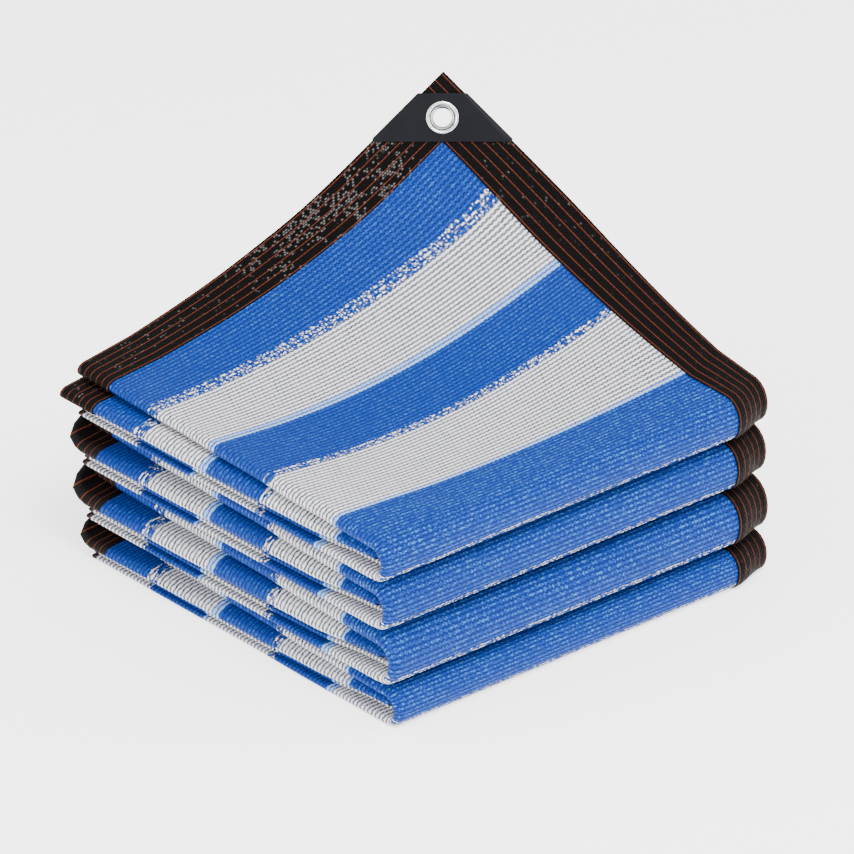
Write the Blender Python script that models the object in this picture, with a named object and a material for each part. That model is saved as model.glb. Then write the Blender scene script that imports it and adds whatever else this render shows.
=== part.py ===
"""Folded shade cloth: one knitted net folded back and forth into a square stack of four lobes,
its dark sewn border, and the plastic corner patch with its metal eyelet, pulled up at one corner.

Metres, +Z up. The origin is the middle of the underside. The four rounded lobes face -Y, the
rolled edges face -X, and the raised corner is the one at +X +Y.

The cloth has two directions. Across it, a section runs along X in four sheets, with the rolls A
and B at -X. Along it, that pack of four runs back and forth along Y in eight layers, two a lobe.
"""

import math
from collections import namedtuple

import bmesh
import bpy
from mathutils import Vector

SIDE = 0.300
HALF = SIDE / 2
NET = 0.0010
GAP = 0.0003
BAND = 0.0005
PATCH = 0.0006
BAND_WIDTH = 0.030
MM = 0.001

# Half thicknesses, counted from the middle of the net outwards
NET_OUT = NET / 2
BAND_IN = NET_OUT + GAP
BAND_OUT = BAND_IN + BAND
PATCH_IN = BAND_OUT + GAP
PATCH_OUT = PATCH_IN + PATCH

# One lobe for each pair of layers, top to bottom: its underside, its height, and how far its
# rolled edge and its rounded front reach
Lobe = namedtuple("Lobe", "bottom height left front")
LOBES = (
    Lobe(0.1035, 0.0295, 0.160, 0.150),
    Lobe(0.0680, 0.0325, 0.157, 0.149),
    Lobe(0.0290, 0.0360, 0.154, 0.151),
    Lobe(0.0000, 0.0262, 0.150, 0.150),
)
LOBE_HEIGHT = 0.030

# Heights in mm above a 30 mm lobe's underside: the four sheets of its upper layer, top to bottom,
# then the four of its lower layer, top to bottom
Heights = namedtuple("Heights", "first second third fourth fourth_low third_low second_low first_low")
FLAT = Heights(28.2, 24.6, 21.0, 17.3, 13.0, 9.0, 4.8, 0.5)
Edge = namedtuple("Edge", "y heights roll_a roll_b roll_b_low roll_a_low")
# How the rolled edge changes from back to front: its heights, and how far in mm each roll stays
# back from the lobe's reach
EDGES = (
    Edge(0.150, Heights(25.0, 17.3, 12.9, 7.8, 5.3, 3.7, 2.1, 0.5), 15.0, 1.0, 5.0, 3.0),
    Edge(0.060, Heights(26.2, 19.0, 16.6, 8.2, 6.2, 4.6, 2.4, 0.5), 11.0, 1.0, 5.0, 3.0),
    Edge(-0.010, Heights(28.6, 20.6, 18.4, 8.4, 6.4, 4.8, 2.6, 0.5), 6.0, 1.5, 5.0, 3.0),
    Edge(-0.070, Heights(29.0, 21.0, 18.8, 9.4, 7.2, 5.4, 3.0, 0.5), 3.0, 2.0, 6.0, 2.0),
    Edge(-0.130, Heights(29.2, 20.8, 18.6, 13.2, 9.8, 8.0, 5.4, 0.5), 1.0, 4.0, 9.0, 1.0),
)
EDGE_START = -0.075
EDGE_FULL = -0.135
NOSE_A = 0.007
NOSE_B = 0.009
NOSE_B_LEAN = 0.15
LEAST_BEND = 0.0015
FOLD_X = 0.145
FOURTH_X = 0.143
MIDDLE_Y = 0.136
# The front folds run a little askew, furthest forwards beside the border, and droop
FRONT_SKEW = 0.008
FRONT_DROOP = 0.6
SKEW_START = -0.030
SKEW_FULL = -0.130
BACK_SQUASH = 0.75
SAG = 0.10

# Where each straight sheet is cut into steps along X, from +X to -X
FIRST_X = (HALF, HALF - BAND_WIDTH, 0.090, 0.060, 0.030, 0.0, -0.040, -0.080, -0.115)
INNER_X = (0.090, -0.020, -0.080, -0.116)
# And each layer along Y
TOP_Y = (HALF, HALF - BAND_WIDTH, 0.090, 0.060, 0.030, 0.0, -0.040, -0.080, -0.115)
LAYER_Y = (-0.090, -0.030, 0.030, 0.095)
TURN_STEPS = 4

# The raised corner is a flat square of cloth that faces up and forwards
TIP = Vector((0.096, 0.088, 0.270))
ALONG_BACK_HEM = Vector((0.758, -0.209, 0.617)).normalized()
ALONG_SIDE_HEM = Vector((-0.302, 0.726, 0.617)).normalized()
CORNER_NORMAL = ALONG_BACK_HEM.cross(ALONG_SIDE_HEM).normalized()
CORNER_UP = (ALONG_BACK_HEM + ALONG_SIDE_HEM).normalized()
CORNER_ACROSS = (ALONG_BACK_HEM - ALONG_SIDE_HEM).normalized()
HEM_STRAIGHT = 0.80
BACK_HEM_START = Vector((0.98, 0.0, 0.17)).normalized()
SIDE_HEM_START = Vector((0.0, 0.965, 0.26)).normalized()
HEM_HANDLE = 0.085
LIFT_X = -0.125
LIFT_Y = -0.120
LIFT_POWER = 2.0
PLANE_START = 1.45
PLANE_FULL = 1.74

PATCH_TOP = 0.0128
PATCH_BOTTOM = 0.0425
EYELET_DOWN = 0.0277
EYELET_HOLE = 0.00565
EYELET_MOUTH = 0.0086
EYELET_BARREL = 0.0079
THROAT_POWER = 1.7
EYELET_EDGE = 0.0100
FLANGE = 0.0009
THROAT_STEPS = 3
HOLE_CUT = EYELET_BARREL + GAP
CUT_REACH = 0.02
EYELET_SIDES = 28

Colour = namedtuple("Colour", "red green blue roughness metallic")
NET_COLOUR = Colour(0.02, 0.13, 0.50, 0.55, 0.0)
BAND_COLOUR = Colour(0.018, 0.012, 0.012, 0.60, 0.0)
PATCH_COLOUR = Colour(0.018, 0.020, 0.028, 0.38, 0.0)
EYELET_COLOUR = Colour(0.72, 0.73, 0.74, 0.22, 1.0)


def smooth(value):
    value = min(1.0, max(0.0, value))
    return value * value * (3 - 2 * value)


def mix(a, b, share):
    return a + (b - a) * share


def mix_rows(a, b, share):
    return [mix(p, q, share) for p, q in zip(a, b)]


def edge_at(y):
    """The rolled edge's heights and set-backs at this place along Y."""
    y = min(EDGES[0].y, max(EDGES[-1].y, y))
    for back, front in zip(EDGES, EDGES[1:]):
        if y >= front.y:
            share = smooth((back.y - y) / (back.y - front.y))
            heights = mix_rows(back.heights, front.heights, share)
            return heights, mix_rows(back[2:], front[2:], share)
    return EDGES[-1].heights, EDGES[-1][2:]


def layer_height(layer):
    """The height of a layer's own middle, which its four sheets are offset from."""
    lobe = LOBES[layer // 2]
    scale = lobe.height / LOBE_HEIGHT
    middle = (FLAT.second + FLAT.third) / 2 if layer % 2 == 0 else (FLAT.third_low + FLAT.second_low) / 2
    return lobe.bottom + middle * scale * MM


def layer_offsets(layer, y, x):
    """How far each of a layer's four sheets lies outside the layer's middle at (x, y)."""
    lobe = LOBES[layer // 2]
    scale = lobe.height / LOBE_HEIGHT
    heights, _ = edge_at(y)
    share = smooth((EDGE_START - x) / (EDGE_START - EDGE_FULL))
    heights = mix_rows(FLAT, heights, share)
    upper, lower = heights[:4], heights[:3:-1]
    rows = upper if layer % 2 == 0 else lower
    side = 1 if layer % 2 == 0 else -1
    return [side * (lobe.bottom + row * scale * MM - layer_height(layer)) for row in rows]


def layer_tips(layer, y):
    """Where the rolls A and B of a layer end at -X."""
    lobe = LOBES[layer // 2]
    _, back = edge_at(y)
    roll_a, roll_b = (back[0], back[1]) if layer % 2 == 0 else (back[3], back[2])
    return -lobe.left + roll_a * MM, -lobe.left + roll_b * MM


def front_skew(x):
    """How much further forwards the front folds reach at this place along X."""
    beside_border = HALF - BAND_WIDTH
    if x > beside_border:
        return FRONT_SKEW * (1 - smooth((x - beside_border) / BAND_WIDTH))
    return FRONT_SKEW * max(0.0, (x + HALF) / (beside_border + HALF))


class Place:
    """One station along the cloth: a point of the layer's middle, its outward direction, and the
    layers that the four sheets take their offsets from."""

    def __init__(self, y, z, out_y, out_z, layer, after, share, squash=1.0):
        self.y, self.z = y, z
        self.out_y, self.out_z = out_y, out_z
        self.layer, self.after, self.share = layer, after, share
        self.squash = squash
        self.table_y = min(HALF, max(-HALF, y))

    def offsets(self, x):
        now = layer_offsets(self.layer, self.table_y, x)
        then = layer_offsets(self.after, self.table_y, x)
        return mix_rows(now, then, self.share)

    def tips(self):
        return mix_rows(layer_tips(self.layer, self.table_y), layer_tips(self.after, self.table_y), self.share)

    def point(self, x, offset):
        y = self.y + offset * self.out_y * self.squash
        share = smooth((SKEW_START - self.table_y) / (SKEW_START - SKEW_FULL))
        return Vector((x, y - share * front_skew(x), self.z + offset * self.out_z))


def front_turn(layer):
    """Down and back round the front of a lobe, from its upper to its lower layer."""
    lobe = LOBES[layer // 2]
    top, low = layer_height(layer), layer_height(layer + 1)
    radius = (top - low) / 2
    reach = lobe.height / 2
    for step in range(TURN_STEPS + 1):
        share = step / TURN_STEPS
        angle = math.pi * share
        bulge = math.sin(angle) ** mix(1.0, FRONT_DROOP, share) if 0 < step < TURN_STEPS else 0.0
        y = -lobe.front + reach - radius * bulge
        z = (top + low) / 2 + radius * math.cos(angle)
        yield Place(y, z, -bulge, math.cos(angle), layer, layer + 1, smooth(share))


def back_turn(layer):
    """Down and forwards behind the stack, from a lobe's lower layer to the next lobe's upper one."""
    top, low = layer_height(layer), layer_height(layer + 1)
    radius = (top - low) / 2
    for step in range(TURN_STEPS + 1):
        share = step / TURN_STEPS
        angle = math.pi * share
        y = MIDDLE_Y + BACK_SQUASH * radius * math.sin(angle)
        z = (top + low) / 2 + radius * math.cos(angle)
        yield Place(y, z, -math.sin(angle), -math.cos(angle), layer, layer + 1, smooth(share), BACK_SQUASH)


def places():
    """Every station along the cloth, from the hem at the raised corner to its other end."""
    rows = [Place(y, layer_height(0), 0.0, 1.0, 0, 0, 0.0) for y in TOP_Y]
    for layer in range(len(LOBES) * 2 - 1):
        rows.extend(front_turn(layer) if layer % 2 == 0 else back_turn(layer))
        below = layer + 1
        side = 1.0 if below % 2 == 0 else -1.0
        stops = LAYER_Y[::-1] if below % 2 == 0 else LAYER_Y
        rows.extend(Place(y, layer_height(below), 0.0, side, below, below, 0.0) for y in stops)
    last = len(LOBES) * 2 - 1
    rows.append(Place(MIDDLE_Y, layer_height(last), 0.0, -1.0, last, last, 0.0))
    return rows


def roll(place, tip, nose, lean, first, second):
    """The points round a roll at -X, from the sheet above to the sheet below."""
    offsets = place.offsets(tip + nose)
    middle = (offsets[first] + offsets[second]) / 2
    radius = (offsets[first] - offsets[second]) / 2
    nose = min(nose, max(radius, radius * radius / LEAST_BEND))
    centre = tip + nose
    for step in range(TURN_STEPS + 1):
        angle = math.pi * step / TURN_STEPS
        x = centre - nose * (math.sin(angle) - lean * math.sin(2 * angle))
        yield x, middle + radius * math.cos(angle)


def section(place):
    """The cloth's section across X at one station: (x, offset) from the hem to its other edge."""
    tip_a, tip_b = place.tips()
    rows = [(x, place.offsets(x)[0]) for x in FIRST_X]
    rows.extend(roll(place, tip_a, NOSE_A, 0.0, 0, 1))
    rows.extend((x, place.offsets(x)[1]) for x in INNER_X[::-1])
    second, third = place.offsets(FOLD_X)[1:3]
    radius = (second - third) / 2
    for step in range(TURN_STEPS + 1):
        angle = math.pi * step / TURN_STEPS
        rows.append((FOLD_X - radius + radius * math.sin(angle), (second + third) / 2 + radius * math.cos(angle)))
    rows.extend((x, place.offsets(x)[2]) for x in INNER_X)
    rows.extend(roll(place, tip_b, NOSE_B, NOSE_B_LEAN, 2, 3))
    rows.extend((x, place.offsets(x)[3]) for x in INNER_X[::-1] + (FOURTH_X,))
    return rows


def bezier(start, start_way, end, end_way, share):
    """A hem's curve, which leaves and arrives along the given directions."""
    near = start + start_way * HEM_HANDLE
    far = end - end_way * HEM_HANDLE
    keep = 1 - share
    return keep**3 * start + 3 * keep**2 * share * near + 3 * keep * share**2 * far + share**3 * end


def hem(start, start_way, end_way, share):
    """A hem of the raised sheet: a curve up to the flat corner, then straight to the tip."""
    straight = TIP - end_way * SIDE * (1 - HEM_STRAIGHT)
    if share >= HEM_STRAIGHT:
        return TIP - end_way * SIDE * (1 - share)
    return bezier(start, start_way, straight, end_way, share / HEM_STRAIGHT)


TOP_PLACE = Place(HALF, layer_height(0), 0.0, 1.0, 0, 0, 0.0)


def unlifted(x, y):
    """The top sheet where it would lie with its corner down."""
    offset = layer_offsets(0, y, x)[0]
    return sagged(Vector((x, y, TOP_PLACE.z + offset)))


def sagged(point):
    """The folds stand fuller than the middle of the stack, which is pressed down a little."""
    across = math.sin(math.pi * min(1.0, max(0.0, (point.x + HALF) / SIDE)))
    along = math.sin(math.pi * min(1.0, max(0.0, (point.y + HALF) / SIDE)))
    return Vector((point.x, point.y, point.z * (1 - SAG * across * along)))


def lifted(point):
    """A point of the top sheet, moved to where the raised corner pulls it."""
    across = (point.x - LIFT_X) / (HALF - LIFT_X)
    along = (point.y - LIFT_Y) / (HALF - LIFT_Y)
    if across <= 0 or along <= 0:
        return point
    corner_down = unlifted(HALF, HALF)
    back_x = mix(LIFT_X, HALF, across)
    side_y = mix(LIFT_Y, HALF, along)
    back = hem(unlifted(LIFT_X, HALF), BACK_HEM_START, ALONG_BACK_HEM, across) - unlifted(back_x, HALF)
    side = hem(unlifted(HALF, LIFT_Y), SIDE_HEM_START, ALONG_SIDE_HEM, along) - unlifted(HALF, side_y)
    weight_x, weight_y = across**LIFT_POWER, along**LIFT_POWER
    moved = point + back * weight_y + side * weight_x - (TIP - corner_down) * weight_x * weight_y
    flat_corner = TIP + ALONG_BACK_HEM * (point.x - HALF) + ALONG_SIDE_HEM * (point.y - HALF)
    share = smooth((across + along - PLANE_START) / (PLANE_FULL - PLANE_START))
    return moved.lerp(flat_corner, share)


def floor_rise(column):
    """The lowest sheet lies on the floor, and its middle is higher where the border runs under it."""
    return BAND_OUT if column < 2 else NET_OUT


def cloth_grid():
    """The middle surface of the net: grid[station along][station across]."""
    grid = []
    for row, place in enumerate(places()):
        points = []
        for column, (x, offset) in enumerate(section(place)):
            point = sagged(place.point(x, offset))
            point.z = max(point.z, floor_rise(column))
            if row < len(TOP_Y) and column < len(FIRST_X):
                point = lifted(point)
            points.append(point)
        grid.append(points)
    return grid


def cell_faces(rows, columns):
    for i in range(rows - 1):
        for j in range(columns - 1):
            yield (i, j), (i + 1, j), (i + 1, j + 1)
            yield (i, j), (i + 1, j + 1), (i, j + 1)


def grid_normals(grid):
    """The outward direction at each point, lengthened at bends so that a wall keeps its thickness."""
    rows, columns = len(grid), len(grid[0])
    around = [[[] for _ in range(columns)] for _ in range(rows)]
    for face in cell_faces(rows, columns):
        a, b, c = (grid[i][j] for i, j in face)
        normal = (b - a).cross(c - a).normalized()
        for i, j in face:
            around[i][j].append(normal)
    result = []
    for line in around:
        out = []
        for normals in line:
            mean = sum(normals, Vector()).normalized()
            least = min(mean.dot(normal) for normal in normals)
            out.append(mean / max(0.8, least))
        result.append(out)
    return result


def new_object(name, points, faces, colour):
    mesh = bpy.data.meshes.new(name)
    mesh.from_pydata([tuple(point) for point in points], [], faces)
    shape = bmesh.new()
    shape.from_mesh(mesh)
    bmesh.ops.recalc_face_normals(shape, faces=shape.faces)
    shape.to_mesh(mesh)
    shape.free()
    mesh.shade_smooth()
    mesh.set_sharp_from_angle(angle=math.radians(40))
    made = bpy.data.objects.new(name, mesh)
    bpy.context.collection.objects.link(made)
    mesh.materials.append(colour)
    return made


def finish(name, colour):
    material = bpy.data.materials.new(name)
    material.use_nodes = True
    shader = material.node_tree.nodes["Principled BSDF"]
    shader.inputs["Base Color"].default_value = (colour.red, colour.green, colour.blue, 1.0)
    shader.inputs["Roughness"].default_value = colour.roughness
    shader.inputs["Metallic"].default_value = colour.metallic
    return material


def sheet(name, grid, normals, half, colour):
    """A closed sheet: the grid's two faces and the rim round them."""
    rows, columns = len(grid), len(grid[0])
    points = []
    for side in (1, -1):
        for i in range(rows):
            points.extend(grid[i][j] + normals[i][j] * half * side for j in range(columns))

    def index(side, i, j):
        return side * rows * columns + i * columns + j

    faces = []
    for face in cell_faces(rows, columns):
        faces.append([index(0, i, j) for i, j in face])
        faces.append([index(1, i, j) for i, j in reversed(face)])
    rim = [(i, 0) for i in range(rows)] + [(rows - 1, j) for j in range(1, columns)]
    rim += [(i, columns - 1) for i in range(rows - 2, -1, -1)] + [(0, j) for j in range(columns - 2, 0, -1)]
    for (a, b), (c, d) in zip(rim, rim[1:] + rim[:1]):
        faces.append([index(0, a, b), index(1, a, b), index(1, c, d), index(0, c, d)])
    return new_object(name, points, faces, colour)


def binding(name, edges, inners, edge_normals, inner_normals, colour):
    """A border folded over an edge of the net: a U in section, along the stations given."""
    points = []
    for edge, inner, edge_out, inner_out in zip(edges, inners, edge_normals, inner_normals):
        away = (edge - inner).normalized()
        beyond = edge + away * (BAND_OUT - NET_OUT)
        just_beyond = edge + away * GAP
        points += [
            inner + inner_out * BAND_OUT,
            beyond + edge_out * BAND_OUT,
            beyond - edge_out * BAND_OUT,
            inner - inner_out * BAND_OUT,
            inner - inner_out * BAND_IN,
            just_beyond - edge_out * BAND_IN,
            just_beyond + edge_out * BAND_IN,
            inner + inner_out * BAND_IN,
        ]
    corners = 8
    faces = []
    for i in range(len(edges) - 1):
        for j in range(corners):
            k = (j + 1) % corners
            a, b = i * corners + j, i * corners + k
            c, d = (i + 1) * corners + k, (i + 1) * corners + j
            faces += [(a, b, c), (a, c, d)] if j not in (0, 4) else [(a, b, d), (b, c, d)]
    start = (len(edges) - 1) * corners
    for base in (0, start):
        faces += [[base + j for j in quad] for quad in ((0, 1, 6, 7), (1, 2, 5, 6), (2, 3, 4, 5))]
    return new_object(name, points, faces, colour)


def corner_point(down, across, out):
    """A point of the raised corner: down from its tip, across it, and out from the net's middle."""
    return TIP - CORNER_UP * down + CORNER_ACROSS * across + CORNER_NORMAL * out


def corner_patch(colour):
    """A flat sleeve of plastic over the corner, open at its top and its lower edge."""
    side_out = (BAND_OUT - NET_OUT + GAP + PATCH) * math.sqrt(2)
    side_in = (BAND_OUT - NET_OUT + GAP) * math.sqrt(2)
    points = []
    for down in (PATCH_TOP, PATCH_BOTTOM):
        for reach, out in ((down + side_out, PATCH_OUT), (down + side_in, PATCH_IN)):
            points += [corner_point(down, across, height) for across, height in
                       ((-reach, out), (reach, out), (reach, -out), (-reach, -out))]
    faces = []
    for j in range(4):
        k = (j + 1) % 4
        faces.append((j, k, 8 + k, 8 + j))
        faces.append((4 + j, 4 + k, 12 + k, 12 + j))
        faces.append((j, k, 4 + k, 4 + j))
        faces.append((8 + j, 8 + k, 12 + k, 12 + j))
    return new_object("corner_patch", points, faces, colour)


def turned(name, profile, colour):
    """A ring turned from (radius, height) points round the eyelet's axis."""
    centre = corner_point(EYELET_DOWN, 0.0, 0.0)
    points = []
    for step in range(EYELET_SIDES):
        angle = 2 * math.pi * step / EYELET_SIDES
        way = CORNER_ACROSS * math.cos(angle) + CORNER_UP * math.sin(angle)
        points.extend(centre + way * radius + CORNER_NORMAL * height for radius, height in profile)
    count = len(profile)
    faces = []
    for step in range(EYELET_SIDES):
        after = (step + 1) % EYELET_SIDES
        for j in range(count):
            k = (j + 1) % count
            faces.append((step * count + j, step * count + k, after * count + k, after * count + j))
    return new_object(name, points, faces, colour)


def eyelet(colour):
    seat = PATCH_OUT + GAP
    face = seat + FLANGE
    rim = FLANGE * 0.5
    profile = [
        (EYELET_BARREL, -seat),
        (EYELET_BARREL, seat),
        (EYELET_EDGE, seat),
        (EYELET_EDGE, face - rim),
        (EYELET_EDGE - rim, face),
    ]
    for step in range(THROAT_STEPS, -THROAT_STEPS - 1, -1):
        share = step / THROAT_STEPS
        radius = mix(EYELET_HOLE, EYELET_MOUTH, abs(share) ** THROAT_POWER)
        profile.append((radius, face * share))
    profile += [(EYELET_EDGE - rim, -face), (EYELET_EDGE, rim - face), (EYELET_EDGE, -seat)]
    return turned("eyelet", profile, colour)


def hole_cutter(colour):
    """A thick disc that cuts the eyelet's seat through the net, the border and the patch."""
    points = []
    for step in range(EYELET_SIDES):
        angle = 2 * math.pi * step / EYELET_SIDES
        across, up = HOLE_CUT * math.cos(angle), HOLE_CUT * math.sin(angle)
        points += [corner_point(EYELET_DOWN - up, across, reach) for reach in (CUT_REACH, -CUT_REACH)]
    faces = [range(0, 2 * EYELET_SIDES, 2), range(1, 2 * EYELET_SIDES, 2)]
    for step in range(EYELET_SIDES):
        a, b = 2 * step, 2 * ((step + 1) % EYELET_SIDES)
        faces.append((a, a + 1, b + 1, b))
    cutter = new_object("hole_cutter", points, faces, colour)
    cutter.hide_render = True
    cutter.display_type = "WIRE"
    return cutter


def punch(piece, cutter):
    cut = piece.modifiers.new("eyelet_hole", "BOOLEAN")
    cut.operation = "DIFFERENCE"
    cut.object = cutter


def centre(*pieces):
    """Moves the pieces so that the middle of their box, seen from above, is the origin."""
    corners = [Vector(corner) for piece in pieces for corner in piece.bound_box]
    middle_x = (min(corner.x for corner in corners) + max(corner.x for corner in corners)) / 2
    middle_y = (min(corner.y for corner in corners) + max(corner.y for corner in corners)) / 2
    for piece in pieces:
        piece.location = (-middle_x, -middle_y, 0.0)


def main():
    for old in list(bpy.data.objects):
        bpy.data.objects.remove(old)
    net_finish = finish("knitted_net", NET_COLOUR)
    band_finish = finish("border_tape", BAND_COLOUR)
    patch_finish = finish("corner_plastic", PATCH_COLOUR)
    eyelet_finish = finish("eyelet_metal", EYELET_COLOUR)

    grid = cloth_grid()
    normals = grid_normals(grid)
    net = sheet("shade_net", grid, normals, NET_OUT, net_finish)

    side_band = binding(
        "edge_band_side",
        [line[0] for line in grid],
        [line[1] for line in grid],
        [line[0] for line in normals],
        [line[1] for line in normals],
        band_finish,
    )
    # The back border butts against the side border, under the patch
    share = GAP / (FIRST_X[1] - FIRST_X[2])
    edge = [grid[0][1].lerp(grid[0][2], share)] + grid[0][2:]
    inner = [grid[1][1].lerp(grid[1][2], share)] + grid[1][2:]
    edge_out = [normals[0][1].lerp(normals[0][2], share)] + normals[0][2:]
    inner_out = [normals[1][1].lerp(normals[1][2], share)] + normals[1][2:]
    back_band = binding("edge_band_back", edge, inner, edge_out, inner_out, band_finish)

    patch = corner_patch(patch_finish)
    ring = eyelet(eyelet_finish)
    cutter = hole_cutter(patch_finish)
    for piece in (net, side_band, patch):
        punch(piece, cutter)
    centre(net, side_band, back_band, patch, ring, cutter)


main()
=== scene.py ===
"""Looks of the folded shade cloth: the knitted net with its stripes, the sewn border with its rows
of chain stitch, the plastic corner patch and the pressed metal eyelet.

The net follows the same map as the solids: a section of four sheets across X, with the rolls A and
B at -X, which runs back and forth along Y in eight layers, two a lobe.
"""

import math
from collections import namedtuple

import bmesh
import bpy
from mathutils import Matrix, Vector


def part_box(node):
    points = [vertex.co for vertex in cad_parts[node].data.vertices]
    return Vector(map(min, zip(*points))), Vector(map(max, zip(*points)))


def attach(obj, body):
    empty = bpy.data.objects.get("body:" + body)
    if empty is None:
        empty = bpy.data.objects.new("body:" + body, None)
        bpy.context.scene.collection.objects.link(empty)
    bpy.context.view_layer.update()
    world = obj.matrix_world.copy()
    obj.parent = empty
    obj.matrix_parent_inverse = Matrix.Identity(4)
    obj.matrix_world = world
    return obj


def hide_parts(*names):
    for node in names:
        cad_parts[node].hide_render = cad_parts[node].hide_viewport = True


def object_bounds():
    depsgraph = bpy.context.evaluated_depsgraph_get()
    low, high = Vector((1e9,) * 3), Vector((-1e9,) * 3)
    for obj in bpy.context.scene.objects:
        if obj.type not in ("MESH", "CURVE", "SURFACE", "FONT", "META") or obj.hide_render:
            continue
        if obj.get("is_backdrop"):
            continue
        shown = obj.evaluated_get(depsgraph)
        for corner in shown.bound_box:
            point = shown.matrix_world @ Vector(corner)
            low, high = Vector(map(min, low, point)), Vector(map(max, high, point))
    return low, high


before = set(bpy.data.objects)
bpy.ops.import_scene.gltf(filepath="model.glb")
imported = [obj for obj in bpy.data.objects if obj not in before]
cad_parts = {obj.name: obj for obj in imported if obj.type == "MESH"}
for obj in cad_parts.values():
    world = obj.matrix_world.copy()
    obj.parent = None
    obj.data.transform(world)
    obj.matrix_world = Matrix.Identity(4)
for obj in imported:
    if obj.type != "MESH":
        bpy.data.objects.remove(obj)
cad_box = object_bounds()

SIDE = 0.300
HALF = SIDE / 2
NET = 0.0010
GAP = 0.0003
BAND = 0.0005
PATCH = 0.0006
BAND_WIDTH = 0.030
MM = 0.001

# Half thicknesses, counted from the middle of the net outwards
NET_OUT = NET / 2
BAND_IN = NET_OUT + GAP
BAND_OUT = BAND_IN + BAND
PATCH_IN = BAND_OUT + GAP
PATCH_OUT = PATCH_IN + PATCH

# One lobe for each pair of layers, top to bottom: its underside, its height, and how far its
# rolled edge and its rounded front reach
Lobe = namedtuple("Lobe", "bottom height left front")
LOBES = (
    Lobe(0.1035, 0.0295, 0.160, 0.150),
    Lobe(0.0680, 0.0325, 0.157, 0.149),
    Lobe(0.0290, 0.0360, 0.154, 0.151),
    Lobe(0.0000, 0.0262, 0.150, 0.150),
)
LOBE_HEIGHT = 0.030

# Heights in mm above a 30 mm lobe's underside: the four sheets of its upper layer, top to bottom,
# then the four of its lower layer, top to bottom
Heights = namedtuple("Heights", "first second third fourth fourth_low third_low second_low first_low")
FLAT = Heights(28.2, 24.6, 21.0, 17.3, 13.0, 9.0, 4.8, 0.5)
Edge = namedtuple("Edge", "y heights roll_a roll_b roll_b_low roll_a_low")
# How the rolled edge changes from back to front: its heights, and how far in mm each roll stays
# back from the lobe's reach
EDGES = (
    Edge(0.150, Heights(25.0, 17.3, 12.9, 7.8, 5.3, 3.7, 2.1, 0.5), 15.0, 1.0, 5.0, 3.0),
    Edge(0.060, Heights(26.2, 19.0, 16.6, 8.2, 6.2, 4.6, 2.4, 0.5), 11.0, 1.0, 5.0, 3.0),
    Edge(-0.010, Heights(28.6, 20.6, 18.4, 8.4, 6.4, 4.8, 2.6, 0.5), 6.0, 1.5, 5.0, 3.0),
    Edge(-0.070, Heights(29.0, 21.0, 18.8, 9.4, 7.2, 5.4, 3.0, 0.5), 3.0, 2.0, 6.0, 2.0),
    Edge(-0.130, Heights(29.2, 20.8, 18.6, 13.2, 9.8, 8.0, 5.4, 0.5), 1.0, 4.0, 9.0, 1.0),
)
EDGE_START = -0.075
EDGE_FULL = -0.135
NOSE_A = 0.007
NOSE_B = 0.009
NOSE_B_LEAN = 0.15
LEAST_BEND = 0.0015
# The least cosine at a bend that its wall is lengthened for
LEAST_LENGTHENED = 0.8
FOLD_X = 0.145
FOURTH_X = 0.143
MIDDLE_Y = 0.136
# The front folds run a little askew, furthest forwards beside the border, and droop
FRONT_SKEW = 0.008
FRONT_DROOP = 0.6
SKEW_START = -0.030
SKEW_FULL = -0.130
BACK_SQUASH = 0.75
# How far the rolls are drawn in where they turn behind the stack
PULL_A = 0.012
PULL_B = 0.026
PULL_END = 0.75
SAG = 0.10


def steps(start, end, count):
    """Evenly spaced values from start, without the end itself."""
    return [start + (end - start) * i / count for i in range(count)]


# Where each straight sheet is cut into steps along X, from +X to -X, and each layer along Y
BORDER_STEPS = 6
BORDER_CUTS = steps(HALF, HALF - BAND_WIDTH, BORDER_STEPS)
FIRST_X = BORDER_CUTS + steps(HALF - BAND_WIDTH, -0.1155, 25)
INNER_X = steps(0.128, -0.116, 15)
TOP_Y = BORDER_CUTS + steps(HALF - BAND_WIDTH, -0.1155, 26)
LAYER_Y = steps(-0.113, 0.117, 20)
TURN_STEPS = 10

# The raised corner is a flat square of cloth that faces up and forwards
TIP = Vector((0.096, 0.088, 0.270))
ALONG_BACK_HEM = Vector((0.758, -0.209, 0.617)).normalized()
ALONG_SIDE_HEM = Vector((-0.302, 0.726, 0.617)).normalized()
CORNER_NORMAL = ALONG_BACK_HEM.cross(ALONG_SIDE_HEM).normalized()
CORNER_UP = (ALONG_BACK_HEM + ALONG_SIDE_HEM).normalized()
CORNER_ACROSS = (ALONG_BACK_HEM - ALONG_SIDE_HEM).normalized()
EYELET_DOWN = 0.0277
# The map below is counted from the middle of the flat folds; the frame is counted from the middle
# of the whole box, and the eyelet, which is the same on every side, shows how far apart they are
SHIFT = (sum(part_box("eyelet"), Vector()) / 2) - (TIP - CORNER_UP * EYELET_DOWN)
HEM_STRAIGHT = 0.80
BACK_HEM_START = Vector((0.98, 0.0, 0.17)).normalized()
SIDE_HEM_START = Vector((0.0, 0.965, 0.26)).normalized()
HEM_HANDLE = 0.085
LIFT_X = -0.125
LIFT_Y = -0.120
LIFT_POWER = 2.0
PLANE_START = 1.45
PLANE_FULL = 1.74

PATCH_TOP = 0.0128
PATCH_BOTTOM = 0.0425
EYELET_HOLE = 0.00565
EYELET_BARREL = 0.0079
HOLE_CUT = EYELET_BARREL + GAP
# Painted shade on the eyelet: the radius of the dark ring in its groove and where its greyer throat starts,
# then how wide the ring's full dark is and how far both fade
EYELET_GROOVE = 0.0081
EYELET_THROAT = 0.0072
GROOVE_DARK = 0.0002
GROOVE_CLEAR = 0.0006
EYELET_SIDES = 96

# The finer patch and eyelet
PATCH_LEVELS = 14
PATCH_CLIP = 0.0018
PATCH_FACE_STEPS = 24
PATCH_TURN_STEPS = 8
EDGE_STEPS = 6
SHARP_ANGLE = math.radians(50)
Bend = namedtuple("Bend", "radius rise")
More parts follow.
